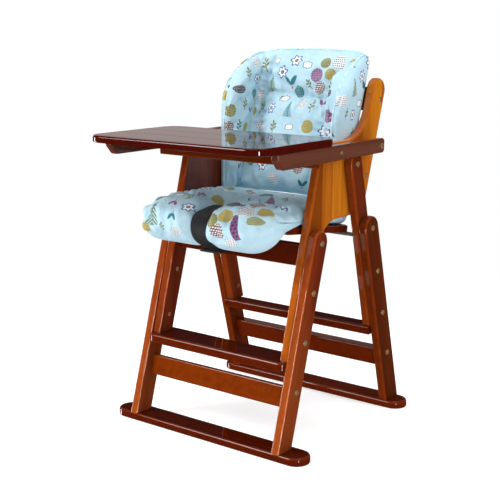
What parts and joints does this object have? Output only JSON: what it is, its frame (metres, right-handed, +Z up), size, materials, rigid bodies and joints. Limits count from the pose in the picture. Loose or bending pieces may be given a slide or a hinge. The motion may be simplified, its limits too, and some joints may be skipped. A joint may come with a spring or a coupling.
{
  "type": "baby high chair",
  "caption": "Folding wooden baby high chair with a lift-up tray, tilting seat board, footrest, padded winged liner and crotch strap.",
  "frame": {"origin": "on the floor, at the middle of the whole chair's outline", "axes": "+Z up; the front, where the tray and the child's feet are, towards -Y; left-right along X"},
  "size_m": [0.6, 0.6599, 0.945],
  "materials": {
    "wood_panel": "gloss varnish",
    "wood_leg": "gloss varnish",
    "wood_dark": "gloss varnish",
    "wood_tray": "gloss varnish",
    "wood_rail": "gloss varnish",
    "brass": "satin",
    "steel": "zinc plated",
    "nylon": "matt",
    "fabric": "printed polyester",
    "webbing": "woven",
    "buckle_plastic": "satin"
  },
  "bodies": {
    "frame": {"side_panel_left": "wood_panel", "side_panel_right": "wood_panel", "front_leg_left": "wood_leg", "front_leg_right": "wood_leg", "back_slat_left": "wood_rail", "back_slat_middle": "wood_rail", "back_slat_right": "wood_rail", "back_rail_upper": "wood_rail", "back_rail_lower": "wood_rail", "front_foot": "wood_dark", "front_crossbar": "wood_rail", "footrest_board": "wood_dark", "seat_front_rail": "wood_rail", "back_cushion": "fabric", "front_leg_bolts": "brass", "front_leg_nuts": "brass", "front_crossbar_bolts": "brass", "front_foot_screws": "steel", "back_rail_screws": "brass", "seat_rail_screws": "brass", "rear_pivot_bolts": "brass", "rear_pivot_washers": "nylon", "tray_pivot_bolts": "brass", "tray_pivot_spacers": "nylon", "seat_pivot_pins": "steel"},
    "rear_frame": {"rear_leg_upper_left": "wood_panel", "rear_leg_upper_right": "wood_panel", "rear_leg_lower_left": "wood_leg", "rear_leg_lower_right": "wood_leg", "rear_foot": "wood_dark", "rear_crossbar": "wood_rail", "rear_stretcher": "wood_dark", "rear_leg_bolts": "brass", "rear_leg_nuts": "brass", "rear_crossbar_bolts": "brass", "rear_foot_screws": "steel", "seat_support_rod": "steel"},
    "seat": {"seat_board": "wood_dark", "seat_cushion": "fabric", "crotch_strap": "webbing", "strap_buckle": "buckle_plastic"},
    "tray": {"tray_arm_left": "wood_tray", "tray_arm_right": "wood_tray", "tray_board": "wood_tray", "tray_crossbar": "wood_rail", "tray_guide_pads": "nylon", "tray_pad_screws": "brass", "tray_screws": "steel"}
  },
  "joints": [
    {"name": "rear_legs_fold", "type": "hinge", "parent": "frame", "child": "rear_frame", "pos_m": [0, 0.1155, 0.6752], "axis": [-1, 0, 0], "range_deg": [0, 31]},
    {"name": "seat_drop", "type": "hinge", "parent": "frame", "child": "seat", "pos_m": [0, -0.0446, 0.5257], "axis": [-1, 0, 0], "range_deg": [0, 6.61]},
    {"name": "tray_lift", "type": "hinge", "parent": "frame", "child": "tray", "pos_m": [0, 0.19545, 0.7149], "axis": [-1, 0, 0], "range_deg": [0, 75]}
  ],
  "couplings": [
    {"joint": "seat_drop", "follows": "rear_legs_fold", "ratio": 0.2129}
  ]
}
